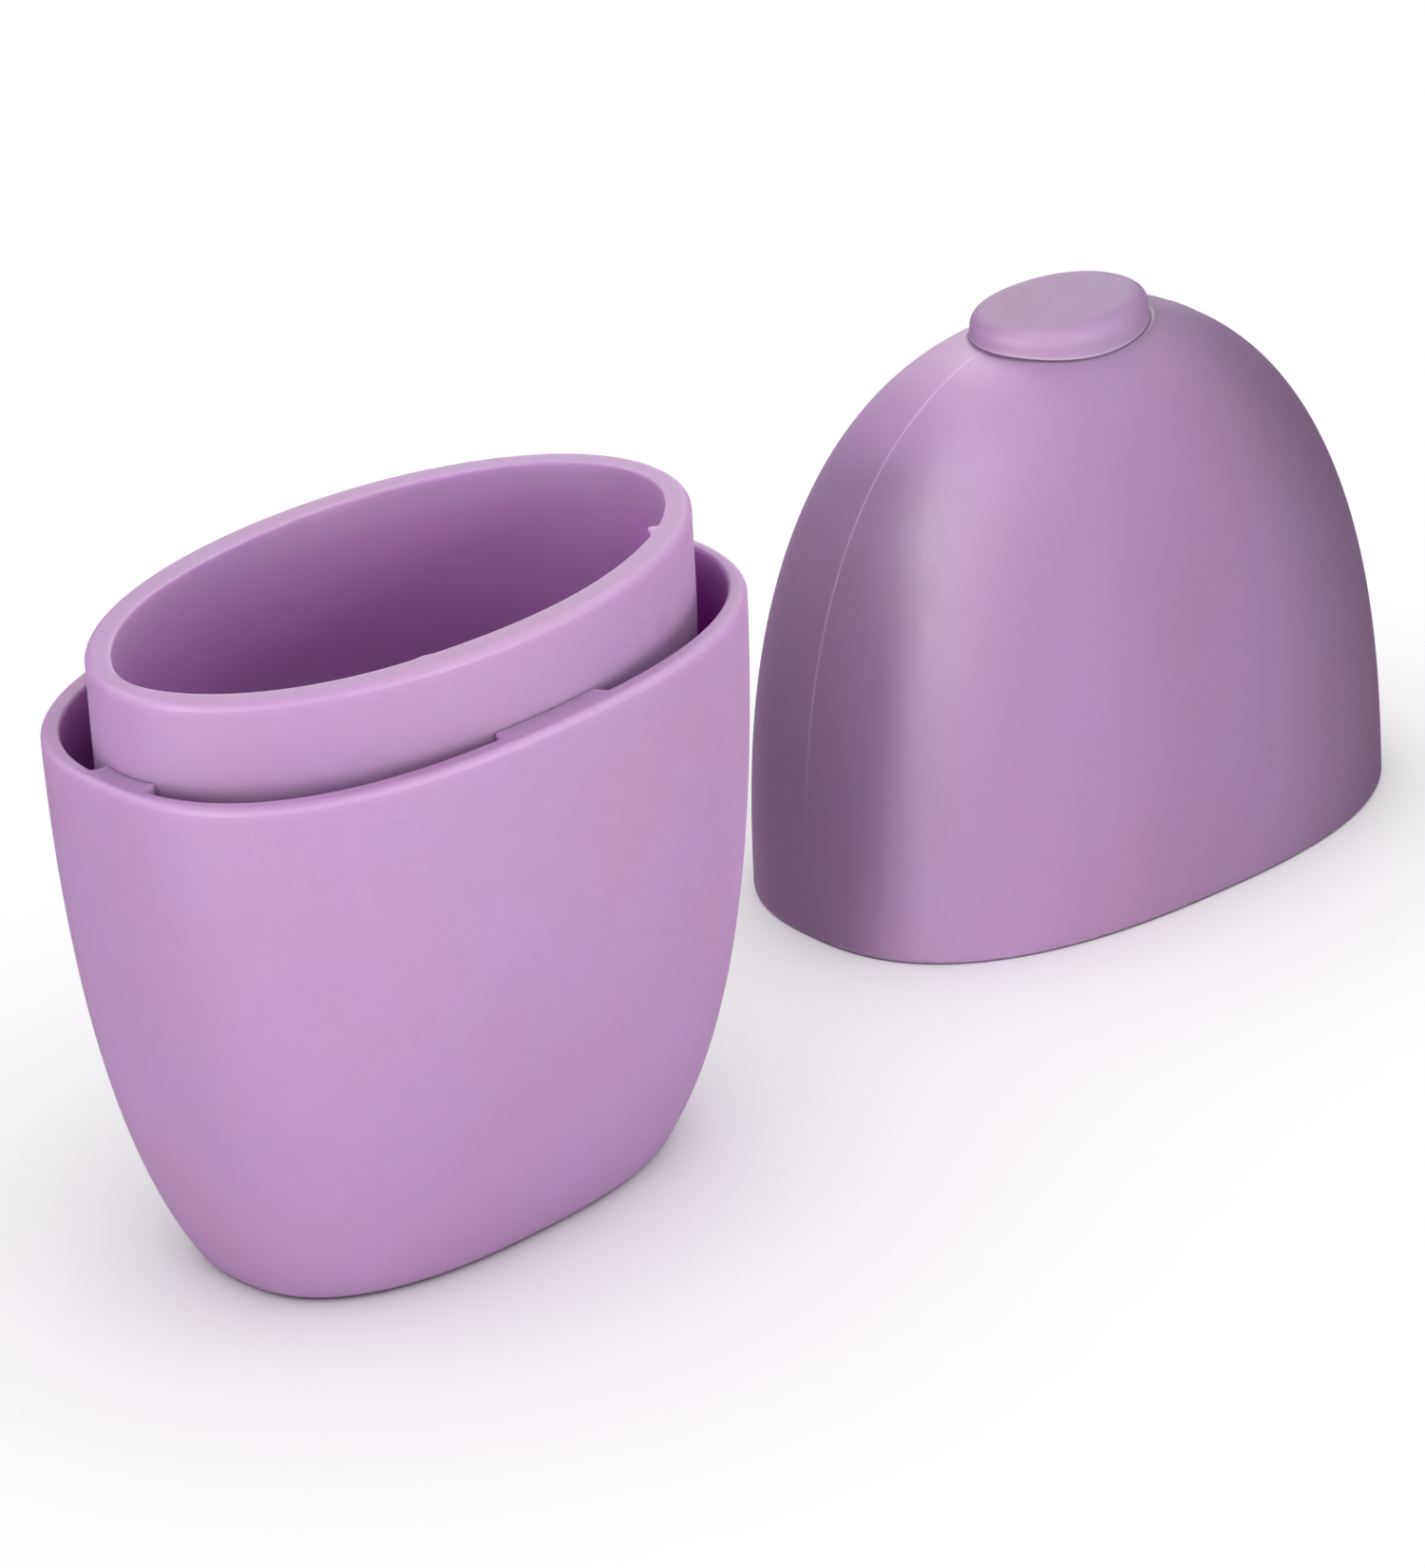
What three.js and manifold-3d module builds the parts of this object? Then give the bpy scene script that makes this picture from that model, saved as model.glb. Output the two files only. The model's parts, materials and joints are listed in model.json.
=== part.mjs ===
// An oval silicone cup with a push-in inner liner, and its domed lid with an oval pad on the crown.
//
// Millimetres, +Z up. The origin is the centre of the cup's flat foot, and +X runs along the cup's
// long axis. The lid stands on its own rim beside the cup, off the cup's +X end.
//
// Every plan section is an oval: |x / a|^power + |y / b|^power = 1. The wall of each vessel is a lathe
// whose rings are stretched into such ovals.

import * as THREE from "three";
import { mergeVertices } from "three/addons/utils/BufferGeometryUtils.js";
import Module from "manifold-3d";

// Plan sections: half-axes along X and Y, and the power of the oval.
const RIM = { a: 36, b: 22.65, power: 2.5 };
const COLLAR = { a: 33, b: 19.35, power: 2.03 };
const PAD = { a: 9.9, b: 7.5, power: 2.1 };

// The outer profile of the cup: each half-axis narrows from the rim to the foot.
const CUP_HEIGHT = 55.55;
const CUP_REACH = 1.156;
const CUP_LONG = { bend: 1.725, round: 4.12 };
const CUP_SHORT = { bend: 3.33, round: 2.115 };
const FOOT_ROUND = 1;
const RIM_ROUND = 0.7;
const CUP_WALL = 1.76;
const CUP_FLOOR = 3;

// The liner hangs clear of the shell all round, and its neck stands above the shell's rim.
const COLLAR_RISE = 8.05;
const LINER_WALL_AT_END = 2.35;
const LINER_WALL_AT_SIDE = 2.65;
const LINER_FLOOR = 3;
const LINER_ROUND = 4;
const COLLAR_ROUND = 0.6;

// Lugs inside the shell's rim that hold the liner's neck: one at each end and one on each side. Each
// is shifted a little anticlockwise round the rim.
const LUG_DROP = 0.1;
const LUG_DEPTH = 6;
const LUG_HALF_AT_END = 3.45;
const LUG_HALF_AT_SIDE = 6.5;
const LUG_SHIFT_AT_END = 0.5;
const LUG_SHIFT_AT_SIDE = 0.4;
const LUG_INTO_WALL = 0.9;

// The lid: the outer profile narrows from its rim to the crown, and its inside takes the collar.
const LID_HEIGHT = 56.65;
const LID_LONG = { bend: 2.55, round: 2.43 };
const LID_SHORT = { bend: 2.22, round: 2.46 };
const LID_WALL = 2.8;
const LID_CROWN = 4.6;
const SOCKET_CLEARANCE = 0.25;
const LID_PLACE = { x: 95.8, y: 7.5, turnDegrees: -3.98 };

// The pad on the crown, a little off its middle, and the shallow oval seat that it stands in.
const PAD_TOP = 58.4;
const PAD_SHIFT = { x: 0.4, y: -0.25 };
const PAD_ROUND = 1.6;
const SEAT_FLOOR = 54.6;

// Pieces that touch on the real object stand this far apart.
const GAP = 0.3;

// How finely the surfaces are cut: sides round a vessel and round the pad, rings up a wall and up a
// dome, rings round an edge, and points along a lug.
const SIDES = 40;
const PAD_SIDES = 32;
const WALL_STEPS = 8;
const DOME_STEPS = 12;
const ROUND_STEPS = 3;
const LUG_STEPS = 6;

const QUARTER = Math.PI / 2;

// The point of an oval at a turn round it.
function ovalPoint(oval, turn) {
  const along = Math.cos(turn);
  const across = Math.sin(turn);
  return {
    x: oval.a * Math.sign(along) * Math.abs(along) ** (2 / oval.power),
    y: oval.b * Math.sign(across) * Math.abs(across) ** (2 / oval.power),
  };
}

// The oval moved inwards, by the same distance all round unless the sides have one of their own.
function inset(oval, distance, atSide = distance) {
  return { ...oval, a: oval.a - distance, b: oval.b - atSide };
}

// The share of a half-axis that is left at a depth of 0 to 1 along the profile.
function narrowing(depth, profile) {
  return Math.max(1 - depth ** profile.bend, 0) ** (1 / profile.round);
}

function cupOval(z) {
  const depth = Math.max(CUP_HEIGHT - z, 0) / CUP_HEIGHT / CUP_REACH;
  return {
    a: RIM.a * narrowing(depth, CUP_LONG),
    b: RIM.b * narrowing(depth, CUP_SHORT),
    power: RIM.power,
    z,
  };
}

function lidOval(z) {
  const depth = z / LID_HEIGHT;
  return {
    a: RIM.a * narrowing(depth, LID_LONG),
    b: RIM.b * narrowing(depth, LID_SHORT),
    power: RIM.power,
    z,
  };
}

// The liner's outside keeps the collar's distance from the shell all the way down.
function linerOval(z) {
  const shell = cupOval(z);
  return {
    a: shell.a - (RIM.a - COLLAR.a),
    b: shell.b - (RIM.b - COLLAR.b),
    power: COLLAR.power,
    z,
  };
}

// Evenly spaced values from first to last, both included.
function steps(first, last, count) {
  return Array.from({ length: count + 1 }, (_, i) => first + ((last - first) * i) / count);
}

// A round edge of the given radius: how far each ring stands in from the wall and off the flat.
function roundEdge(radius) {
  return steps(0, QUARTER, ROUND_STEPS).map((turn) => ({
    in: radius * (1 - Math.sin(turn)),
    off: radius * (1 - Math.cos(turn)),
  }));
}

// The centre point of a flat or of a crown, where a profile meets the axis.
function centre(z) {
  return { a: 0, b: 0, power: 2, z };
}

// A closed solid from the rings of its profile, which runs anticlockwise from the axis to the axis.
function ovalLathe(rings, sides) {
  const outline = rings.map((ring) => new THREE.Vector2(ring.a, ring.z));
  const geometry = new THREE.LatheGeometry(outline, sides);
  const position = geometry.attributes.position;
  for (let side = 0; side <= sides; side += 1) {
    const turn = ((side % sides) / sides) * 2 * Math.PI;
    rings.forEach((ring, index) => {
      const { x, y } = ovalPoint(ring, turn);
      position.setXYZ(side * rings.length + index, x, y, ring.z);
    });
  }
  return geometry;
}

const wasm = await Module();
wasm.setup();

// A geometry as a manifold solid, with its shared vertices merged.
function toSolid(geometry) {
  const bare = geometry.clone();
  bare.deleteAttribute("normal");
  bare.deleteAttribute("uv");
  const merged = mergeVertices(bare, 1e-4);
  const mesh = new wasm.Mesh({
    numProp: 3,
    vertProperties: new Float32Array(merged.attributes.position.array),
    triVerts: new Uint32Array(merged.index.array),
  });
  return new wasm.Manifold(mesh);
}

function toGeometry(solid) {
  const mesh = solid.getMesh();
  const geometry = new THREE.BufferGeometry();
  geometry.setAttribute("position", new THREE.BufferAttribute(mesh.vertProperties, 3));
  geometry.setIndex(new THREE.BufferAttribute(mesh.triVerts, 1));
  return geometry;
}

// The shell's wall: foot, outer wall, rim, inner wall and floor.
function shellWall() {
  const foot = roundEdge(FOOT_ROUND).map(({ in: into, off }) => ({
    ...inset(cupOval(off), into),
    z: off,
  }));
  const outside = steps(FOOT_ROUND, CUP_HEIGHT - RIM_ROUND, WALL_STEPS).slice(1).map(cupOval);
  const rim = roundEdge(RIM_ROUND)
    .reverse()
    .slice(1)
    .map(({ in: into, off }) => ({ ...inset(RIM, into), z: CUP_HEIGHT - off }));
  const inside = steps(CUP_HEIGHT, CUP_FLOOR, WALL_STEPS).map((z) => inset(cupOval(z), CUP_WALL));
  return ovalLathe([centre(0), ...foot, ...outside, ...rim, ...inside, centre(CUP_FLOOR)], SIDES);
}

// One side of an oval between two places along it, as points at a fixed spacing.
function ovalSide(oval, from, to, alongX) {
  const [long, short] = alongX ? [oval.a, oval.b] : [oval.b, oval.a];
  return steps(from, to, LUG_STEPS).map((along) => {
    const out = short * (1 - Math.abs(along / long) ** oval.power) ** (1 / oval.power);
    return { along, out };
  });
}

// A lug spans the groove from inside the shell's wall to just short of the collar. It lies where sign
// times X or Y is positive, and shift moves its middle along the groove.
function lug(half, shift, alongX, sign) {
  const reach = [shift - half, shift + half, alongX];
  const outer = ovalSide(inset(RIM, LUG_INTO_WALL), ...reach);
  const inner = ovalSide(inset(COLLAR, -GAP), ...reach).reverse();
  const points = [...outer, ...inner].map(({ along, out }) =>
    alongX ? new THREE.Vector2(along, sign * out) : new THREE.Vector2(sign * out, along),
  );
  const geometry = new THREE.ExtrudeGeometry(new THREE.Shape(points), {
    depth: LUG_DEPTH,
    bevelEnabled: false,
  });
  return geometry.translate(0, 0, CUP_HEIGHT - LUG_DROP - LUG_DEPTH);
}

function cupShell() {
  const lugs = [1, -1].flatMap((sign) => [
    lug(LUG_HALF_AT_END, sign * LUG_SHIFT_AT_END, false, sign),
    lug(LUG_HALF_AT_SIDE, -sign * LUG_SHIFT_AT_SIDE, true, sign),
  ]);
  return toGeometry(lugs.reduce((shell, piece) => shell.add(toSolid(piece)), toSolid(shellWall())));
}

// The liner's inside, from its outside: a thinner wall at the ends of the oval than at its sides.
function linerInside(oval, by = 0) {
  return inset(oval, LINER_WALL_AT_END + by, LINER_WALL_AT_SIDE + by);
}

// The liner: rounded bottom, outer wall, neck, inner wall and rounded floor.
function innerLiner() {
  const bottom = CUP_FLOOR + GAP;
  const floor = bottom + LINER_FLOOR;
  const top = CUP_HEIGHT + COLLAR_RISE;
  const under = roundEdge(LINER_ROUND).map(({ in: into, off }) => ({
    ...inset(linerOval(bottom + off), into),
    z: bottom + off,
  }));
  const outside = steps(bottom + LINER_ROUND, CUP_HEIGHT, WALL_STEPS).slice(1).map(linerOval);
  const neck = roundEdge(COLLAR_ROUND)
    .reverse()
    .map(({ in: into, off }) => ({ ...inset(COLLAR, into), z: top - off }));
  const lip = { ...linerInside(COLLAR), z: top };
  const inside = steps(CUP_HEIGHT, floor + LINER_ROUND, WALL_STEPS).map((z) =>
    linerInside(linerOval(z)),
  );
  const bowl = roundEdge(LINER_ROUND)
    .reverse()
    .slice(1)
    .map(({ in: into, off }) => ({
      ...linerInside(linerOval(floor + off), into),
      z: floor + off,
    }));
  const rings = [centre(bottom), ...under, ...outside, ...neck, lip, ...inside, ...bowl, centre(floor)];
  return ovalLathe(rings, SIDES);
}

// Heights up a dome, closer together towards the crown.
function domeHeights(height) {
  return steps(0, QUARTER, DOME_STEPS).map((turn) => height * Math.sin(turn));
}

// The lid's inside is the collar's oval with clearance, until the dome's wall closes over it.
function lidHollow(z) {
  const socket = inset(COLLAR, -SOCKET_CLEARANCE);
  const inside = LID_HEIGHT - LID_CROWN;
  const dome = lidOval((z * LID_HEIGHT) / inside);
  return {
    a: Math.min(socket.a, dome.a - LID_WALL * (1 - z / inside)),
    b: Math.min(socket.b, dome.b - LID_WALL * (1 - z / inside)),
    power: COLLAR.power,
    z,
  };
}

function lidDome() {
  const inside = domeHeights(LID_HEIGHT - LID_CROWN).slice(0, -1).reverse().map(lidHollow);
  const outside = domeHeights(LID_HEIGHT).slice(0, -1).map(lidOval);
  const rings = [centre(LID_HEIGHT - LID_CROWN), ...inside, ...outside, centre(LID_HEIGHT)];
  const seat = ovalLathe(
    [
      centre(SEAT_FLOOR),
      { ...inset(PAD, -GAP), z: SEAT_FLOOR },
      { ...inset(PAD, -GAP), z: PAD_TOP },
      centre(PAD_TOP),
    ],
    PAD_SIDES,
  ).translate(PAD_SHIFT.x, PAD_SHIFT.y, 0);
  return toGeometry(toSolid(ovalLathe(rings, SIDES)).subtract(toSolid(seat)));
}

function lidPad() {
  const edge = roundEdge(PAD_ROUND)
    .reverse()
    .map(({ in: into, off }) => ({ ...inset(PAD, into), z: PAD_TOP - off }));
  const bottom = SEAT_FLOOR + GAP;
  const rings = [centre(bottom), { ...PAD, z: bottom }, ...edge, centre(PAD_TOP)];
  return ovalLathe(rings, PAD_SIDES).translate(PAD_SHIFT.x, PAD_SHIFT.y, 0);
}

// Matte lilac silicone, the liner a shade deeper than the shell and the lid.
function silicone(color) {
  return new THREE.MeshStandardMaterial({ color, roughness: 0.55, metalness: 0 });
}

function piece(name, geometry, color) {
  const mesh = new THREE.Mesh(geometry, silicone(color));
  mesh.name = name;
  return mesh;
}

const object = new THREE.Group();
object.add(piece("cup_shell", cupShell(), 0xbf9bc4));
object.add(piece("inner_liner", innerLiner(), 0xb894bf));

const lid = new THREE.Group();
lid.position.set(LID_PLACE.x, LID_PLACE.y, 0);
lid.rotation.z = THREE.MathUtils.degToRad(LID_PLACE.turnDegrees);
lid.add(piece("lid_dome", lidDome(), 0xbf9bc4));
lid.add(piece("lid_pad", lidPad(), 0xc3a0ca));
object.add(lid);

export default object;
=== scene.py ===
import json
import math
from collections import namedtuple

import bpy
from mathutils import Matrix, Vector


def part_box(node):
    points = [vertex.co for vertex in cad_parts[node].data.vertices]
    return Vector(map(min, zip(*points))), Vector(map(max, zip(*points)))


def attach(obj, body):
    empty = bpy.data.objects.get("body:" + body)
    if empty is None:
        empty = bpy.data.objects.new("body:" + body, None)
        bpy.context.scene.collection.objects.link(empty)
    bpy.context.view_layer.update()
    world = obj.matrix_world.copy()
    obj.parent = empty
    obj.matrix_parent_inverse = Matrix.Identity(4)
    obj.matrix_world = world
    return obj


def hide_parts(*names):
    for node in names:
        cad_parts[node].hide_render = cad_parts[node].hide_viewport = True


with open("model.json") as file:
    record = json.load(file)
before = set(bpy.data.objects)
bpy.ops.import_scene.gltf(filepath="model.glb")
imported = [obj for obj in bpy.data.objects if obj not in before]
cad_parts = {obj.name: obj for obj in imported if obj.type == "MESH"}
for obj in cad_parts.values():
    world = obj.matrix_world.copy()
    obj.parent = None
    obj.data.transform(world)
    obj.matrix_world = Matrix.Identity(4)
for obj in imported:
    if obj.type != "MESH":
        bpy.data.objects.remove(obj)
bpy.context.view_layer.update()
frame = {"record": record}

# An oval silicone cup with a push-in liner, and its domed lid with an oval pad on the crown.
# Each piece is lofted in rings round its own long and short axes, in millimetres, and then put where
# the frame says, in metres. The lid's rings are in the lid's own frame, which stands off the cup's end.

MM = 0.001

Oval = namedtuple("Oval", "a b power z")


def in_mm(vector):
    return [value / MM for value in vector]


# ---------------------------------------------------------------- sizes, in millimetres

shell_high = in_mm(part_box("cup_shell")[1])
liner_low, liner_high = (in_mm(corner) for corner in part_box("inner_liner"))
dome_low, dome_high = (in_mm(corner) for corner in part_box("lid_dome"))
pad_low, pad_high = (in_mm(corner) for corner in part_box("lid_pad"))
mounts = {mount["name"]: in_mm(mount["pos_m"]) for mount in frame["record"]["mounts"]}

# Plan sections, as on the frame: half-axes, and the power of |x / a|^power + |y / b|^power = 1.
RIM = Oval(shell_high[0], shell_high[1], 2.5, 0)
COLLAR = Oval(liner_high[0], liner_high[1], 2.03, 0)
PAD = Oval(9.9, 7.5, 2.1, 0)

CUP_HEIGHT = shell_high[2]
CUP_REACH = 1.156
CUP_LONG = (1.725, 4.12)
CUP_SHORT = (3.33, 2.115)
FOOT_ROUND = 1.0
RIM_ROUND = 0.75
CUP_WALL_AT_END = 1.5
CUP_WALL_AT_SIDE = 2.0
CUP_FLOOR = 3.0
CUP_FLOOR_ROUND = 1.5
EDGE_ROUND = 0.35

COLLAR_TOP = liner_high[2]
COLLAR_ROUND = 0.8
LINER_BOTTOM = liner_low[2]
LINER_WALL_AT_END = 2.4
LINER_WALL_AT_SIDE = 2.8
LINER_FLOOR = 3.0
LINER_ROUND = 4.0

LUG_DROP = 0.1
LUG_DEPTH = 6.0
LUG_HALF_AT_END = 3.45
LUG_HALF_AT_SIDE = 6.5
LUG_SHIFT_AT_END = 0.5
LUG_SHIFT_AT_SIDE = 0.4
LUG_END_ROUND = 0.25
LUG_END_BLEND = 0.3
LUG_TO_COLLAR = 0.05

LID_HEIGHT = 56.65
LID_LONG = (2.55, 2.43)
LID_SHORT = (2.22, 2.46)
LID_WALL = 2.8
LID_CROWN = 4.6
LID_EDGE_ROUND = 0.45
SOCKET_CLEARANCE = 0.25
CROWN_FROM = 50.0

PAD_TOP = pad_high[2]
PAD_ROUND = 2.4
PAD_FULLNESS = 3.2
PAD_CROWNING = 0.05
PAD_LIP = 0.08
SEAT_FLOOR = pad_low[2] - 0.3
SEAT_GAP = 0.03

# The mould's parting line: a fine ridge up both ends of the lid.
SEAM_HEIGHT = 0.07
SEAM_HALF_WIDTH = 0.13
SEAM_FROM = 4
SEAM_FULL_AT = 28
# The ridge is painted paler: painted light along the thin ridge.
SEAM_PAINTED_LIGHT = 0.8

# The collar's inner edge was trimmed by hand: it wanders a little, with one long shallow bite and a
# nick. A thin flash stands on one stretch of it, and a tab is left next to the flash.
TRIM_WANDER = 0.06
BITE_TURN = math.radians(175)
BITE_DEPTH = 0.4
BITE_HALF_WIDTH = math.radians(15)
NICK_TURN = math.radians(250)
NICK_REACH = 0.2
NICK_HALF_WIDTH = math.radians(1.6)
FLASH_TURNS = (math.radians(-37.5), math.radians(-16))
FLASH_REACH = 0.05
TAB_TURN = math.radians(-41.5)
TAB_REACH = 0.85
TAB_TAIL = 2.4
# The tab and the flash are painted paler: painted light through the thin silicone.
TAB_PAINTED_LIGHT = 0.7

# Where the painted shade in the hollows starts below their edges, and over what depth it comes in: the
# hollows are painted a richer purple for the shade and purple bounce light that fall in them.
CUP_PAINTED_SHADE = (0.4, 2.5)
LINER_PAINTED_SHADE = (0.5, 6.0)

LID_CENTRE = Vector(((dome_low[0] + dome_high[0]) / 2, (dome_low[1] + dome_high[1]) / 2, 0))
LID_LONG_END = Vector((*mounts["lid_rim"][:2], 0)) - LID_CENTRE
LID_TURN = math.atan2(LID_LONG_END.y, LID_LONG_END.x)
PAD_SHIFT = Matrix.Rotation(-LID_TURN, 4, "Z") @ (Vector((*mounts["pad_top"][:2], 0)) - LID_CENTRE)

# How finely the rings are cut.
COLUMNS = 208
FULL = 2 * math.pi


# ---------------------------------------------------------------- ovals and profiles

def smooth(share):
    share = min(max(share, 0), 1)
    return share * share * (3 - 2 * share)


def mix(first, last, share):
    return first + (last - first) * share


def spread(first, last, count):
    """Even values from first to last, both included."""
    return [mix(first, last, i / count) for i in range(count + 1)]


def narrower(oval, at_end, at_side, z=None):
    return Oval(oval.a - at_end, oval.b - at_side, oval.power, oval.z if z is None else z)


def inset(oval, distance, z=None):
    return narrower(oval, distance, distance, z)


def shell_inside(oval, short=0, z=None):
    """The shell's inside from its outside, or a ring that stops short of it."""
    return narrower(oval, CUP_WALL_AT_END - short, CUP_WALL_AT_SIDE - short, z)


def liner_inside(oval, short=0, z=None):
    """The liner's inside from its outside, or a ring that stops short of it."""
    return narrower(oval, LINER_WALL_AT_END - short, LINER_WALL_AT_SIDE - short, z)


def oval_point(oval, turn):
    """The point of an oval at a turn round it, evenly spread even where the oval is square."""
    along, across = math.cos(turn), math.sin(turn)
    push = (abs(along) ** oval.power + abs(across) ** oval.power) ** (-1 / oval.power)
    return Vector((oval.a * along * push, oval.b * across * push, oval.z))


def narrowing(depth, bend, round_):
    """How much of its full width a dome keeps at a share of its depth."""
    return max(1 - depth ** bend, 0) ** (1 / round_)


def cup_oval(z, by=0):
    depth = max(CUP_HEIGHT - z, 0) / CUP_HEIGHT / CUP_REACH
    return Oval(
        RIM.a * narrowing(depth, *CUP_LONG) - by,
        RIM.b * narrowing(depth, *CUP_SHORT) - by,
        RIM.power,
        z,
    )


def liner_oval(z, by=0):
    shell = cup_oval(z)
    return Oval(
        shell.a - (RIM.a - COLLAR.a) - by, shell.b - (RIM.b - COLLAR.b) - by, COLLAR.power, z
    )


def lid_oval(z):
    depth = z / LID_HEIGHT
    return Oval(
        RIM.a * narrowing(depth, *LID_LONG), RIM.b * narrowing(depth, *LID_SHORT), RIM.power, z
    )


def lid_hollow(z):
    """The lid's inside: the collar's oval with clearance, until the dome closes over it."""
    inside = LID_HEIGHT - LID_CROWN
    dome = lid_oval(z * LID_HEIGHT / inside)
    wall = LID_WALL * (1 - z / inside)
    return Oval(
        min(COLLAR.a + SOCKET_CLEARANCE, dome.a - wall),
        min(COLLAR.b + SOCKET_CLEARANCE, dome.b - wall),
        COLLAR.power,
        z,
    )


def dome_height(x, y):
    """The height of the lid's outer surface over a point of its plan."""
    low, high = 0.0, LID_HEIGHT
    for _ in range(40):
        middle = (low + high) / 2
        oval = lid_oval(middle)
        inside = abs(x / oval.a) ** oval.power + abs(y / oval.b) ** oval.power < 1
        low, high = (middle, high) if inside else (low, middle)
    return low


def quarter_round(radius, count):
    """Steps of a round edge from the wall to the flat: how far in from the wall, and off the flat."""
    turns = spread(0, math.pi / 2, count)
    return [(radius * (1 - math.cos(t)), radius * (1 - math.sin(t))) for t in turns]


# ---------------------------------------------------------------- meshes

def detailed_turns(places, reach, spacing):
    """Turns all round, even ones with finer ones close to each place. Reach and spacing are in mm."""
    fine = []
    for place in places:
        step = spacing / RIM.a
        count = round(reach / spacing)
        fine += [(place + i * step) % FULL for i in range(-count, count + 1)]
    clear = reach / RIM.a + 0.3 * FULL / COLUMNS

    def is_clear(turn):
        return all(abs((turn - place + math.pi) % FULL - math.pi) > clear for place in places)

    even = [turn for turn in (i * FULL / COLUMNS for i in range(COLUMNS)) if is_clear(turn)]
    return sorted(even + fine)


def loft(name, rings, first, last, place=Matrix.Identity(4)):
    """A closed mesh from rings of points, with a pole before the first ring and after the last."""
    columns = len(rings[0])
    points = [first] + [point for ring in rings for point in ring] + [last]
    top = len(points) - 1
    faces = []
    for i in range(columns):
        j = (i + 1) % columns
        faces.append((0, 1 + j, 1 + i))
        for row in range(len(rings) - 1):
            low, high = 1 + row * columns, 1 + (row + 1) * columns
            faces.append((low + i, low + j, high + j, high + i))
        end = 1 + (len(rings) - 1) * columns
        faces.append((end + i, end + j, top))
    mesh = bpy.data.meshes.new(name)
    mesh.from_pydata([place @ (Vector(point) * MM) for point in points], [], faces)
    mesh.validate()
    mesh.shade_smooth()
    piece = bpy.data.objects.new(name, mesh)
    bpy.context.scene.collection.objects.link(piece)
    return piece


def paint_thin_edge_light(piece, strength):
    """Stores how much paler each point is painted where an edge or a ridge is thin: painted light, for
    the light that thin silicone lets through and the highlight a thin lip or ridge catches.
    """
    layer = piece.data.attributes.new("thin_edge_light", "FLOAT", "POINT")
    layer.data.foreach_set("value", strength)


def painted_hollow_shade(piece, first, edge, rich):
    """Stores how much painted shade, a richer purple for the shade that falls in a hollow, each point
    of the hollow gets; the hollow's points start at the first.
    """
    start, reach = rich
    depths = [0.0] * len(piece.data.vertices)
    for vertex in piece.data.vertices[first:]:
        depths[vertex.index] = smooth((edge - start - vertex.co.z / MM) / reach)
    layer = piece.data.attributes.new("painted_hollow_shade", "FLOAT", "POINT")
    layer.data.foreach_set("value", depths)


# ---------------------------------------------------------------- the cup's shell

def lug_reach(turn):
    """How far inside a lug's nearest end a place on the shell's inner edge is, in millimetres."""
    point = oval_point(shell_inside(RIM), turn)
    if abs(point.x) > 0.8 * RIM.a:
        return LUG_HALF_AT_END - abs(point.y - math.copysign(LUG_SHIFT_AT_END, point.x))
    return LUG_HALF_AT_SIDE - abs(point.x + math.copysign(LUG_SHIFT_AT_SIDE, point.y))


def lug_turns():
    """Where the lugs end, as turns round the shell's inner wall."""
    turns = spread(0, FULL, 7200)
    return [
        turn for turn, after in zip(turns, turns[1:]) if (lug_reach(turn) > 0) != (lug_reach(after) > 0)
    ]


def shell_edge_rows():
    """Rows over the shell's inner edge and down past the lugs: on the plain wall, and on a lug.

    Each row says how far the plain wall's ring stops short of the wall and its height, then for the
    lug the share of the way from there to the collar and its height."""
    top = CUP_HEIGHT
    ledge = top - LUG_DROP
    under = ledge - LUG_DEPTH
    edge = EDGE_ROUND
    return [
        (edge, top, 0.0, top),
        (0.7 * edge, top - 0.05 * edge, 0.03, top - 0.01),
        (0.3 * edge, top - 0.3 * edge, 0.1, top - 0.03),
        (0.05 * edge, top - 0.7 * edge, 0.2, top - 0.06),
        (0, top - edge, 0.32, ledge + 0.02),
        (0, top - 0.45, 0.5, ledge),
        (0, top - 0.6, 0.7, ledge),
        (0, top - 0.8, 0.92, ledge - 0.02),
        (0, top - 1.0, 0.98, ledge - 0.08),
        (0, top - 1.3, 1.0, ledge - 0.25),
        (0, top - 2.0, 1.0, ledge - 1.0),
        (0, top - 4.0, 1.0, ledge - 3.0),
        (0, top - 5.5, 1.0, under + 0.3),
        (0, top - 6.0, 0.94, under),
        (0, top - 6.4, 0.1, under),
        (0, top - 6.8, 0.0, under - 0.3),
    ]


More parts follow.
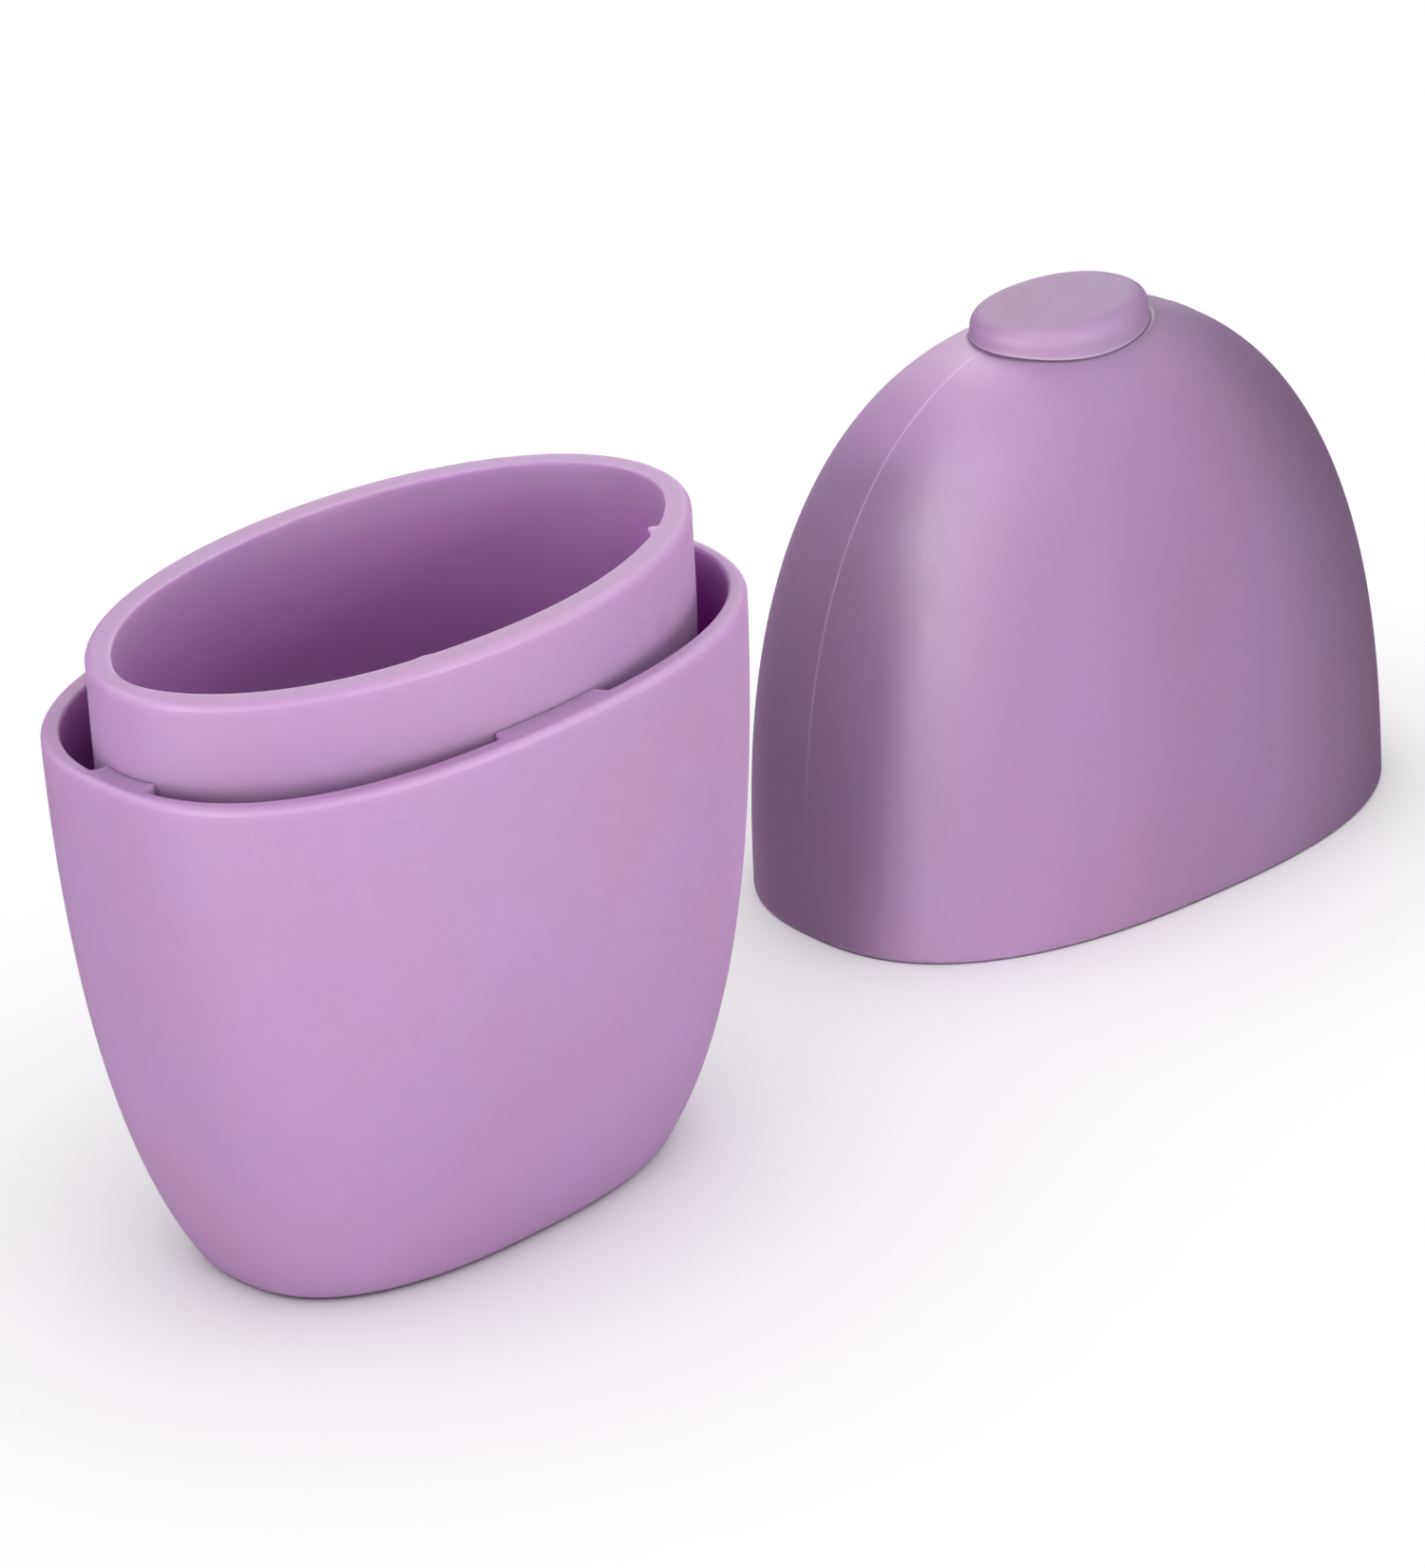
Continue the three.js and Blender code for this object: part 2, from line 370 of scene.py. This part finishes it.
def cup_shell():
    turns = detailed_turns(lug_turns(), 1.0, 0.1)
    rings = []

    def add(oval):
        rings.append([oval_point(oval, turn) for turn in turns])

    for share in (0.3, 0.6, 0.85):
        foot = cup_oval(0, FOOT_ROUND)
        add(Oval(foot.a * share, foot.b * share, foot.power, 0))
    for into, off in reversed(quarter_round(FOOT_ROUND, 6)):
        add(inset(cup_oval(off), into))
    for z in spread(FOOT_ROUND, CUP_HEIGHT - RIM_ROUND, 44)[1:]:
        add(cup_oval(z))
    for into, off in quarter_round(RIM_ROUND, 7)[1:]:
        add(inset(RIM, into, CUP_HEIGHT - off))
    inside_from = 1 + len(rings) * len(turns)
    for short, z, share, lug_z in shell_edge_rows():
        plain = shell_inside(cup_oval(z), short)
        ring = []
        for turn in turns:
            reach = lug_reach(turn)
            end = 1 - min(max(reach / LUG_END_ROUND, 0), 1)
            droop = LUG_END_ROUND * (1 - math.sqrt(1 - end ** 2)) * share
            point = oval_point(plain, turn)
            on_lug = point.lerp(oval_point(inset(COLLAR, -LUG_TO_COLLAR), turn), share)
            on_lug.z = lug_z - droop
            ring.append(point.lerp(on_lug, smooth(0.5 + reach / LUG_END_BLEND)))
        rings.append(ring)
    below_lugs = CUP_HEIGHT - LUG_DEPTH - 1.5
    for z in spread(below_lugs, CUP_FLOOR + CUP_FLOOR_ROUND, 24):
        add(shell_inside(cup_oval(z)))
    for into, off in quarter_round(CUP_FLOOR_ROUND, 4)[1:]:
        add(shell_inside(cup_oval(CUP_FLOOR + off), -into))
    floor = shell_inside(cup_oval(CUP_FLOOR), -CUP_FLOOR_ROUND)
    for share in (0.8, 0.4):
        add(Oval(floor.a * share, floor.b * share, floor.power, CUP_FLOOR))
    piece = loft("cup_shell_moulding", rings, Vector((0, 0, 0)), Vector((0, 0, CUP_FLOOR)))
    # Painted shade: the shell's inside below the rim is painted a richer purple.
    painted_hollow_shade(piece, inside_from, CUP_HEIGHT, CUP_PAINTED_SHADE)
    return piece


# ---------------------------------------------------------------- the liner

def turn_past(start, turn):
    """How far a turn is past a start, going clockwise, along the collar's edge in millimetres."""
    radius = math.hypot(COLLAR.a * math.sin(start), COLLAR.b * math.cos(start))
    return -((turn - start + math.pi) % FULL - math.pi) * radius


def tab_share(turn):
    """The moulding tab: it starts with a step and tapers back to the edge over its tail."""
    along = turn_past(TAB_TURN, turn)
    return smooth((along + 0.1) / 0.2) * (1 - smooth(along / TAB_TAIL))


def flash_share(turn):
    """The flash: a thin sliver that thins out at both ends of its stretch."""
    start, end = FLASH_TURNS
    share = ((turn + math.pi) % FULL - math.pi - start) / (end - start)
    return smooth(share / 0.25) * smooth((1 - share) / 0.5)


def trimming(turn):
    """How far the trimmed edge stands in from an even one, in millimetres."""
    bite = math.exp(-(((turn - BITE_TURN) / BITE_HALF_WIDTH) ** 2))
    nick = math.exp(-(((turn - NICK_TURN) / NICK_HALF_WIDTH) ** 2))
    return TRIM_WANDER * math.cos(7 * turn) - BITE_DEPTH * bite + NICK_REACH * nick


def inner_liner():
    turns = detailed_turns([TAB_TURN % FULL, NICK_TURN], 2.8, 0.1)
    rings = []
    strength = [0.0]

    def add(oval, thin=0.0):
        rings.append([oval_point(oval, turn) for turn in turns])
        strength.extend([thin] * len(turns))

    for share in (0.3, 0.7):
        under = liner_oval(LINER_BOTTOM, LINER_ROUND)
        add(Oval(under.a * share, under.b * share, under.power, LINER_BOTTOM))
    for into, off in reversed(quarter_round(LINER_ROUND, 8)):
        add(liner_oval(LINER_BOTTOM + off, into))
    for z in spread(LINER_BOTTOM + LINER_ROUND, CUP_HEIGHT, 30)[1:]:
        add(liner_oval(z))
    for z in spread(CUP_HEIGHT, COLLAR_TOP - COLLAR_ROUND, 8)[1:]:
        add(inset(COLLAR, 0, z))
    for into, off in quarter_round(COLLAR_ROUND, 7)[1:]:
        add(inset(COLLAR, into, COLLAR_TOP - off))
    add(inset(COLLAR, 1.5, COLLAR_TOP))
    inside_from = 1 + len(rings) * len(turns)
    # Rows over the inner edge: how far each stops short of the wall and lies below the top, and its
    # share of the tab and of the flash.
    for short, down, tab, flash in (
        (0.6, 0, 0.0, 0.0), (0.22, 0, 0.5, 0.0), (0.1, 0.02, 0.9, 0.2), (0.02, 0.08, 1.0, 1.0),
        (0, 0.2, 1.0, 0.8), (0, 0.5, 0.8, 0.0), (0, 0.8, 0.0, 0.0), (0, 1.4, 0.0, 0.0),
    ):
        ring = []
        for turn in turns:
            on_tab, on_flash = tab * tab_share(turn), flash * flash_share(turn)
            trim = trimming(turn) * (1 - down / 1.4) * (short < 0.3)
            reach = TAB_REACH * on_tab + FLASH_REACH * on_flash + trim
            ring.append(oval_point(liner_inside(COLLAR, short - reach, COLLAR_TOP - down), turn))
            strength.append(max(TAB_PAINTED_LIGHT * on_tab, on_flash))
        rings.append(ring)
    for z in spread(COLLAR_TOP - 2.5, CUP_HEIGHT, 6):
        add(liner_inside(COLLAR, 0, z))
    floor = LINER_BOTTOM + LINER_FLOOR
    for z in spread(CUP_HEIGHT, floor + LINER_ROUND, 28)[1:]:
        add(liner_inside(liner_oval(z)))
    for into, off in quarter_round(LINER_ROUND, 8)[1:]:
        add(liner_inside(liner_oval(floor + off), -into))
    bowl = liner_inside(liner_oval(floor), -LINER_ROUND)
    for share in (0.7, 0.3):
        add(Oval(bowl.a * share, bowl.b * share, bowl.power, floor))
    piece = loft(
        "inner_liner_moulding", rings, Vector((0, 0, LINER_BOTTOM)), Vector((0, 0, floor))
    )
    paint_thin_edge_light(piece, strength + [0.0])
    # Painted shade: the liner's inside below the collar's top is painted a richer purple.
    painted_hollow_shade(piece, inside_from, COLLAR_TOP, LINER_PAINTED_SHADE)
    return piece


# ---------------------------------------------------------------- the lid

LID_PLACE = Matrix.Translation(LID_CENTRE * MM) @ Matrix.Rotation(LID_TURN, 4, "Z")


def seam_share(point):
    """How far a point of the lid's outside is on the parting line, fading towards the rim."""
    across = math.exp(-((point.y / SEAM_HALF_WIDTH) ** 2))
    return across * smooth((point.z - SEAM_FROM) / (SEAM_FULL_AT - SEAM_FROM))


def lid_dome():
    turns = detailed_turns([0, math.pi], 0.8, 0.1)
    rings = []
    strength = [0.0]

    def add(ring, thin=None):
        rings.append(ring)
        strength.extend(thin or [0.0] * len(ring))

    def add_oval(oval):
        add([oval_point(oval, turn) for turn in turns])

    inside = LID_HEIGHT - LID_CROWN
    for turn in reversed(spread(0, math.pi / 2, 30)[1:-1]):
        add_oval(lid_hollow(inside * math.sin(turn)))
    socket = lid_hollow(0)
    for into, off in quarter_round(LID_EDGE_ROUND, 4):
        add_oval(Oval(socket.a + into, socket.b + into, socket.power, off))
    for into, off in reversed(quarter_round(LID_EDGE_ROUND, 4)):
        add_oval(inset(RIM, into, off))

    for z in spread(LID_EDGE_ROUND, CROWN_FROM, 60)[1:]:
        ring = []
        thin = []
        for turn in turns:
            point = oval_point(lid_oval(z), turn)
            seam = seam_share(point)
            ring.append(point * (1 + SEAM_HEIGHT * seam / RIM.a))
            ring[-1].z = point.z
            thin.append(SEAM_PAINTED_LIGHT * seam)
        add(ring, thin)

    seat = inset(PAD, -SEAT_GAP)
    for share in spread(0, 1, 16)[1:]:
        ring = []
        thin = []
        for turn in turns:
            outer = oval_point(lid_oval(CROWN_FROM), turn)
            inner = oval_point(seat, turn) + PAD_SHIFT
            point = outer.lerp(inner, share)
            point.z = dome_height(point.x, point.y)
            seam = seam_share(point)
            ring.append(point + Vector((0, 0, SEAM_HEIGHT * seam)))
            thin.append(SEAM_PAINTED_LIGHT * seam)
        add(ring, thin)
    for drop in (0.15, 0.4):
        ring = []
        for turn in turns:
            point = oval_point(seat, turn) + PAD_SHIFT
            point.z = dome_height(point.x, point.y) - drop
            ring.append(point)
        add(ring)
    for share in (1, 0.5):
        flat = Oval(seat.a * share, seat.b * share, seat.power, SEAT_FLOOR)
        add([oval_point(flat, turn) + PAD_SHIFT for turn in turns])
    piece = loft(
        "lid_dome_moulding",
        rings,
        Vector((0, 0, inside)),
        Vector((0, 0, SEAT_FLOOR)) + PAD_SHIFT,
        LID_PLACE,
    )
    paint_thin_edge_light(piece, strength + [0.0])
    return piece


def lid_pad():
    turns = spread(0, FULL, 144)[:-1]
    rings = []
    strength = [0.0]

    def add(ring, thin=0.0):
        rings.append([point + PAD_SHIFT for point in ring])
        strength.extend([thin] * len(ring))

    def height(point):
        return dome_height(*(point + PAD_SHIFT)[:2])

    bottom = SEAT_FLOOR + 0.05
    add([oval_point(Oval(PAD.a * 0.5, PAD.b * 0.5, PAD.power, bottom), turn) for turn in turns])
    add([oval_point(Oval(PAD.a, PAD.b, PAD.power, bottom), turn) for turn in turns])
    # The lip follows the dome round the foot, a hair's breadth above it, and is painted paler: a
    # painted highlight along the lip.
    for out, rise, thin in (
        (0.0, 0.01, 0.0), (PAD_LIP * 0.85, 0.02, 0.6), (PAD_LIP, 0.07, 1.0),
        (PAD_LIP * 0.75, 0.14, 0.8), (PAD_LIP * 0.25, 0.23, 0.2),
    ):
        ring = []
        for turn in turns:
            foot = oval_point(PAD, turn)
            point = oval_point(inset(PAD, -out), turn)
            point.z = height(foot) + rise
            ring.append(point)
        add(ring, thin)
    # The side and the soft edge are one curve, fuller than a plain round.
    for tilt in spread(0, math.pi / 2, 14):
        into = PAD_ROUND * (1 - math.cos(tilt) ** (2 / PAD_FULLNESS))
        rise = math.sin(tilt) ** (2 / PAD_FULLNESS)
        ring = []
        for turn in turns:
            foot = height(oval_point(PAD, turn)) + 0.3
            point = oval_point(inset(PAD, into), turn)
            point.z = mix(foot, PAD_TOP - PAD_CROWNING, rise)
            ring.append(point)
        add(ring)
    for share in (0.85, 0.65, 0.45, 0.25):
        flat = inset(PAD, PAD_ROUND)
        rise = PAD_CROWNING * (1 - share ** 2)
        oval = Oval(flat.a * share, flat.b * share, flat.power, PAD_TOP - PAD_CROWNING + rise)
        add([oval_point(oval, turn) for turn in turns])
    piece = loft(
        "lid_pad_moulding",
        rings,
        Vector((0, 0, bottom)) + PAD_SHIFT,
        Vector((0, 0, PAD_TOP)) + PAD_SHIFT,
        LID_PLACE,
    )
    paint_thin_edge_light(piece, strength + [0.0])
    return piece


# ---------------------------------------------------------------- silicone

def on_cup(turn, z):
    return oval_point(cup_oval(z), math.radians(turn))


def on_lid(turn, z):
    return LID_PLACE @ (oval_point(lid_oval(z), math.radians(turn)) * MM) / MM


def on_pad(along, across):
    return LID_PLACE @ (Vector((along, across, PAD_TOP)) * MM) / MM


def hair(place, turn, z, half_turns):
    """A short curved hair stuck to a surface, as a row of small marks."""
    arc = [(share, 0.22 * (1 - share ** 2)) for share in (-1, -0.6, -0.2, 0.2, 0.6, 1)]
    return [(place(turn + half_turns * share, z + up), 0.16, 0.16) for share, up in arc]


# Small marks on the skin: a place in millimetres, a radius, and how dark or, below nought, how pale
# the mark is.
MARKS = {
    "cup_shell": hair(on_cup, 239.8, 51.7, 0.8) + [
        (on_cup(216.7, 53.1), 0.25, -0.4), (on_cup(221.8, 37.0), 0.3, 0.12),
    ],
    "inner_liner": [],
    "lid_dome": hair(on_lid, 191.0, 47.4, 2.0) + [
        (on_lid(298.6, 51.3), 0.22, 0.3), (on_lid(233.9, 53.1), 0.2, 0.25),
    ],
    "lid_pad": [(on_pad(-6.0, -0.3), 0.2, 0.25)],
}


def silicone(name, colour, depth, seed, marks):
    """Matte moulded silicone: cloudy colour, a fine cast grain, dust specks, thin edges painted paler
    as painted light, and painted shade in hollows.
    """
    material = bpy.data.materials.new(name)
    material.use_nodes = True
    nodes, links = material.node_tree.nodes, material.node_tree.links
    shader = nodes["Principled BSDF"]
    place = nodes.new("ShaderNodeTexCoord")

    def noise(scale, detail, offset=0.0):
        shift = nodes.new("ShaderNodeMapping")
        shift.inputs["Location"].default_value = (seed + offset, seed * 0.7, offset)
        texture = nodes.new("ShaderNodeTexNoise")
        texture.inputs["Scale"].default_value = scale
        texture.inputs["Detail"].default_value = detail
        links.new(place.outputs["Object"], shift.inputs["Vector"])
        links.new(shift.outputs["Vector"], texture.inputs["Vector"])
        return texture.outputs["Fac"]

    def remap(value, low, high, to_low, to_high):
        node = nodes.new("ShaderNodeMapRange")
        node.inputs["From Min"].default_value = low
        node.inputs["From Max"].default_value = high
        node.inputs["To Min"].default_value = to_low
        node.inputs["To Max"].default_value = to_high
        links.new(value, node.inputs["Value"])
        return node.outputs["Result"]

    def blend(share, first, last):
        node = nodes.new("ShaderNodeMix")
        node.data_type = "RGBA"
        for socket, value in ((node.inputs["A"], first), (node.inputs["B"], last)):
            if isinstance(value, tuple):
                socket.default_value = (*value, 1)
            else:
                links.new(value, socket)
        links.new(share, node.inputs["Factor"])
        return node.outputs["Result"]

    # Cloudy colour: a bluer and a pinker lilac in patches about 15 mm across.
    pink = tuple(c * k for c, k in zip(colour, (1.0, 0.98, 0.965)))
    cool = tuple(c * k for c, k in zip(colour, (0.99, 1.01, 1.03)))
    cloudy = blend(remap(noise(75, 3), 0.35, 0.65, 0, 1), pink, cool)

    # Dust specks: sparse dark dots, a few tenths of a millimetre across.
    speck = nodes.new("ShaderNodeTexVoronoi")
    speck.inputs["Scale"].default_value = 130
    links.new(place.outputs["Object"], speck.inputs["Vector"])
    dot = remap(speck.outputs["Distance"], 0.03, 0.05, 1, 0)
    rare = remap(noise(60, 0, 3.0), 0.66, 0.68, 0, 0.35)
    dust = nodes.new("ShaderNodeMath")
    dust.operation = "MULTIPLY"
    links.new(dot, dust.inputs[0])
    links.new(rare, dust.inputs[1])
    dusty = blend(dust.outputs["Value"], cloudy, tuple(c * 0.45 for c in colour))

    for spot, radius, dark in marks:
        away = nodes.new("ShaderNodeVectorMath")
        away.operation = "DISTANCE"
        away.inputs[1].default_value = spot * MM
        links.new(place.outputs["Object"], away.inputs[0])
        share = remap(away.outputs["Value"], 0.4 * radius * MM, radius * MM, abs(dark), 0)
        ink = tuple(c * 0.35 for c in colour) if dark > 0 else tuple(c * 1.5 for c in colour)
        dusty = blend(share, dusty, ink)

    # Painted light: thin edges, ridges and the pad's lip are painted paler, standing in for light
    # through thin silicone and the highlight they catch.
    thin = nodes.new("ShaderNodeAttribute")
    thin.attribute_name = "thin_edge_light"
    pale = tuple(min(c * 1.35 + 0.05, 1) for c in colour)
    edged = blend(remap(thin.outputs["Fac"], 0, 1, 0, 0.8), dusty, pale)

    # Painted shade: a hollow is painted a richer purple, standing in for the shade and the purple
    # bounce light that fall in it.
    hollow = nodes.new("ShaderNodeAttribute")
    hollow.attribute_name = "painted_hollow_shade"
    rich = tuple(c * k for c, k in zip(colour, (1.03, 0.74, 1.06)))
    links.new(blend(hollow.outputs["Fac"], edged, rich), shader.inputs["Base Color"])

    rough = remap(noise(900, 4), 0.3, 0.7, 0.52, 0.6)
    links.new(rough, shader.inputs["Roughness"])
    shader.inputs["Specular IOR Level"].default_value = 1.0
    shader.inputs["IOR"].default_value = 1.6
    shader.inputs["Subsurface Weight"].default_value = depth
    shader.inputs["Subsurface Radius"].default_value = (1.0, 0.7, 0.95)
    shader.inputs["Subsurface Scale"].default_value = SUBSURFACE_REACH * MM

    grain = nodes.new("ShaderNodeBump")
    grain.inputs["Strength"].default_value = 0.25
    grain.inputs["Distance"].default_value = 0.03 * MM
    links.new(noise(2600, 2), grain.inputs["Height"])
    wave = nodes.new("ShaderNodeBump")
    wave.inputs["Strength"].default_value = 0.3
    wave.inputs["Distance"].default_value = 0.1 * MM
    links.new(noise(120, 1), wave.inputs["Height"])
    links.new(wave.outputs["Normal"], grain.inputs["Normal"])
    links.new(grain.outputs["Normal"], shader.inputs["Normal"])
    return material


# ---------------------------------------------------------------- the object

LILAC = (0.381, 0.215, 0.405)
SUBSURFACE_REACH = 4.0  # millimetres

PIECES = (
    # maker, CAD node, body, record slot, colour, subsurface weight, seed
    (cup_shell, "cup_shell", "cup", "shell_silicone", LILAC, 0.8, 1.0),
    (inner_liner, "inner_liner", "liner", "liner_silicone", LILAC, 0.8, 2.0),
    (lid_dome, "lid_dome", "lid", "lid_silicone", LILAC, 0.8, 3.0),
    (lid_pad, "lid_pad", "lid", "pad_silicone", LILAC, 0.2, 4.0),
)

made = {}
for make, node, body, slot, colour, depth, seed in PIECES:
    piece = make()
    piece.data.materials.append(silicone(slot, colour, depth, seed, MARKS[node]))
    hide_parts(node)
    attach(piece, body)
    made[node] = piece


# ---------------------------------------------------------------- floor, light and camera

AIM = Vector((0.0786, 0.0430, 0))
CAMERA_HEADING = 43.02
CAMERA_DOWN = 25.51
CAMERA_ROLL = -3.12
CAMERA_DISTANCE = 0.7982
LENS_MM = 174.4

STUDIO_MIDDLE = Vector((0.048, 0.004, 0.03))
SOFTBOX_DISTANCE = 0.7


def direction(heading, up):
    """A unit vector towards a heading, in degrees from +Y towards +X, and an angle above level."""
    turn, rise = math.radians(heading), math.radians(up)
    return Vector(
        (math.sin(turn) * math.cos(rise), math.cos(turn) * math.cos(rise), math.sin(rise))
    )


def make_camera():
    data = bpy.data.cameras.new("camera")
    data.lens = LENS_MM
    data.clip_start = 0.01
    data.clip_end = 20
    camera = bpy.data.objects.new("camera", data)
    bpy.context.scene.collection.objects.link(camera)
    ahead = direction(CAMERA_HEADING, -CAMERA_DOWN)
    turn = ahead.to_track_quat("-Z", "Y").to_matrix().to_4x4()
    roll = Matrix.Rotation(math.radians(CAMERA_ROLL), 4, "Z")
    camera.matrix_world = Matrix.Translation(AIM - ahead * CAMERA_DISTANCE) @ turn @ roll
    bpy.context.scene.camera = camera


def make_floor():
    half = 3.0  # metres
    mesh = bpy.data.meshes.new("floor")
    corners = [(-half, -half, 0), (half, -half, 0), (half, half, 0), (-half, half, 0)]
    mesh.from_pydata(corners, [], [(0, 1, 2, 3)])
    floor = bpy.data.objects.new("floor", mesh)
    floor.location.z = -0.05 * MM
    bpy.context.scene.collection.objects.link(floor)
    paper = bpy.data.materials.new("pale_paper")
    paper.use_nodes = True
    shader = paper.node_tree.nodes["Principled BSDF"]
    shader.inputs["Base Color"].default_value = (0.9, 0.9, 0.9, 1)
    shader.inputs["Roughness"].default_value = 0.9
    shader.inputs["Specular IOR Level"].default_value = 0.1
    mesh.materials.append(paper)
    # The floor is dull paper, so the pieces' gloss is left to the soft boxes.
    floor.visible_glossy = False
    return floor


def light_only(light, pieces):
    """Keep a light on some pieces, as a flag or a reflector does in a studio."""
    lit = bpy.data.collections.new(light.name + "_lit")
    for piece in pieces:
        lit.objects.link(piece)
    light.light_linking.receiver_collection = lit


def softbox(name, right, up, power, only=None, size=0.35):
    """A soft light on the middle of the object, so many degrees to the right of the camera and up.

    It lights all the pieces, or those in a list, and leaves the floor to the floor's own light."""
    data = bpy.data.lights.new(name, "AREA")
    data.shape = "RECTANGLE"
    data.size = data.size_y = size
    data.energy = power
    light = bpy.data.objects.new(name, data)
    bpy.context.scene.collection.objects.link(light)
    away = direction(CAMERA_HEADING + 180 - right, up)
    light.location = STUDIO_MIDDLE + away * SOFTBOX_DISTANCE
    light.rotation_euler = (-away).to_track_quat("-Z", "Y").to_euler()
    light_only(light, only or made.values())


def floor_light(floor):
    """An even light from overhead, which keeps the floor pale out to its far edge."""
    data = bpy.data.lights.new("floor_overhead", "SUN")
    data.energy = 3.6
    data.angle = math.radians(120)
    light = bpy.data.objects.new("floor_overhead", data)
    bpy.context.scene.collection.objects.link(light)
    light_only(light, (floor,))


def make_light():
    world = bpy.data.worlds.new("studio")
    bpy.context.scene.world = world
    world.use_nodes = True
    world.node_tree.nodes["Background"].inputs["Strength"].default_value = 0
    cup = (made["cup_shell"], made["inner_liner"])
    dome = (made["lid_dome"],)
    pad = (made["lid_pad"],)

    softbox("low_left", -35, 10, 3.0)
    softbox("high_left", -35, 45, 0.85)
    softbox("low_front", 0, 10, 0.8)
    softbox("high_far_right", 105, 45, 0.4)
    softbox("low_back", 180, 10, 0.7)
    softbox("high_back", 180, 45, 1.0)
    softbox("high_right", 35, 45, 0.75)

    softbox("cup_high_far_left", -105, 45, 1.9, cup)
    softbox("cup_high_far_right", 105, 45, 1.9, cup)
    softbox("cup_high_back_right", 150, 45, 0.65, cup)
    softbox("cup_low_right", 35, 10, 1.05, cup)
    softbox("cup_low_side_right", 65, 10, 2.3, cup)

    softbox("dome_low_left", -36, 8, 9.3, dome, 0.42)
    softbox("dome_high_left", -35, 45, 2.2, dome)
    softbox("dome_high_back", 180, 45, 1.4, dome)

    softbox("pad_low_side_left", -65, 10, 1.3, pad)
    softbox("pad_low_right", 35, 10, 0.95, pad)
    softbox("pad_low_side_right", 65, 10, 1.15, pad)
    softbox("pad_top", 0, 89, 1.7, pad)


make_camera()
floor_light(make_floor())
make_light()
bpy.context.scene.view_settings.view_transform = "Standard"
